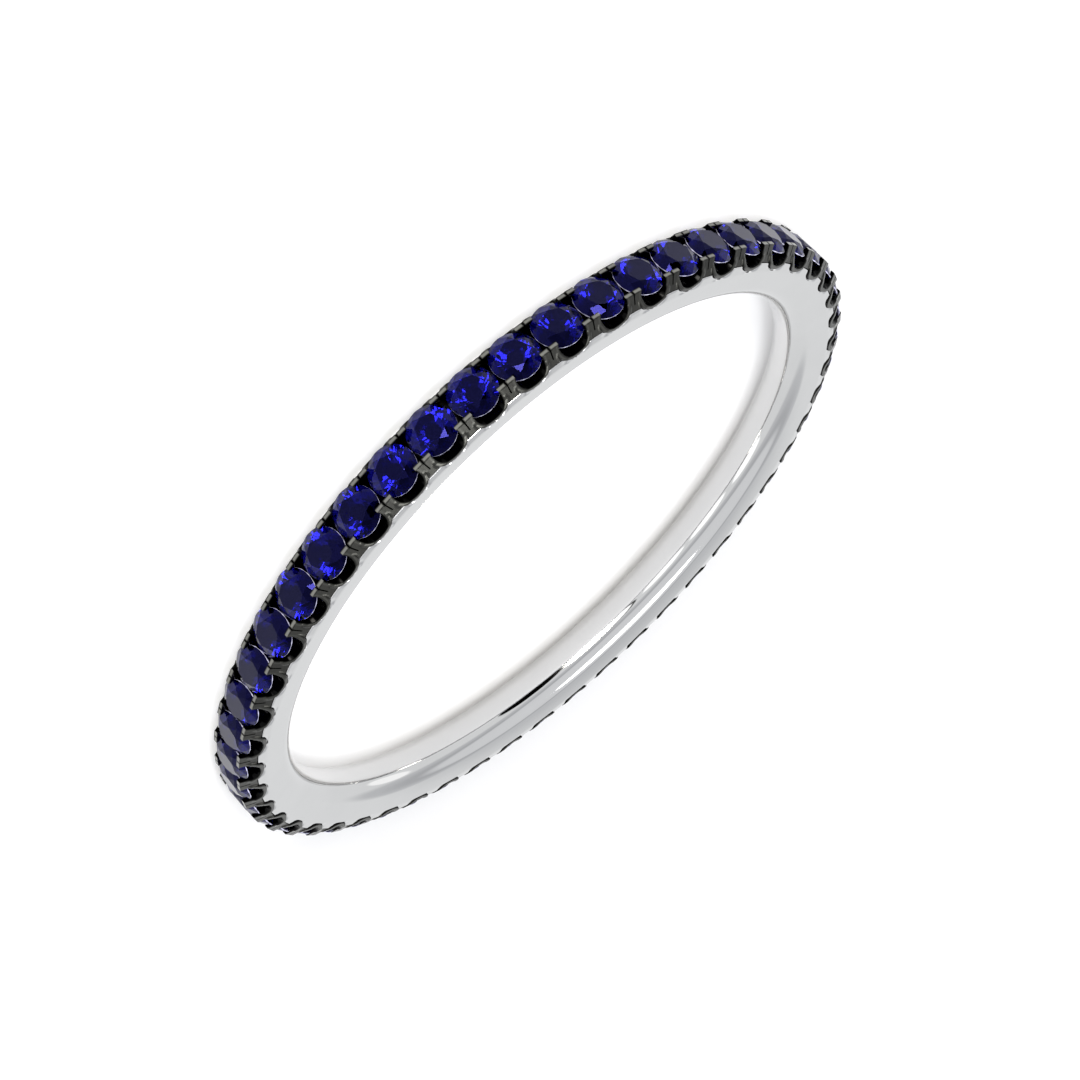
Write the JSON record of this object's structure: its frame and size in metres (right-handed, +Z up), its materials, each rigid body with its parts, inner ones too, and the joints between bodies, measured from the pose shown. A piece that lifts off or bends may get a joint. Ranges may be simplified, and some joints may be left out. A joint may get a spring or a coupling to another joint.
{
  "type": "full eternity ring",
  "caption": "Full eternity ring: white metal band, black scalloped shared-prong setting and a full circle of round blue brilliants.",
  "frame": {"origin": "on the surface the ring lies on, under the centre of the finger hole", "axes": "+Z up along the axis of the finger hole, +X through the middle of one stone"},
  "size_m": [0.0202, 0.0202, 0.0014],
  "materials": {
    "white_metal": "polished",
    "black_plating": "polished",
    "blue_stone": "polished"
  },
  "bodies": {
    "root": {"band": "white_metal", "setting": "black_plating", "stones": "blue_stone"}
  },
  "joints": []
}
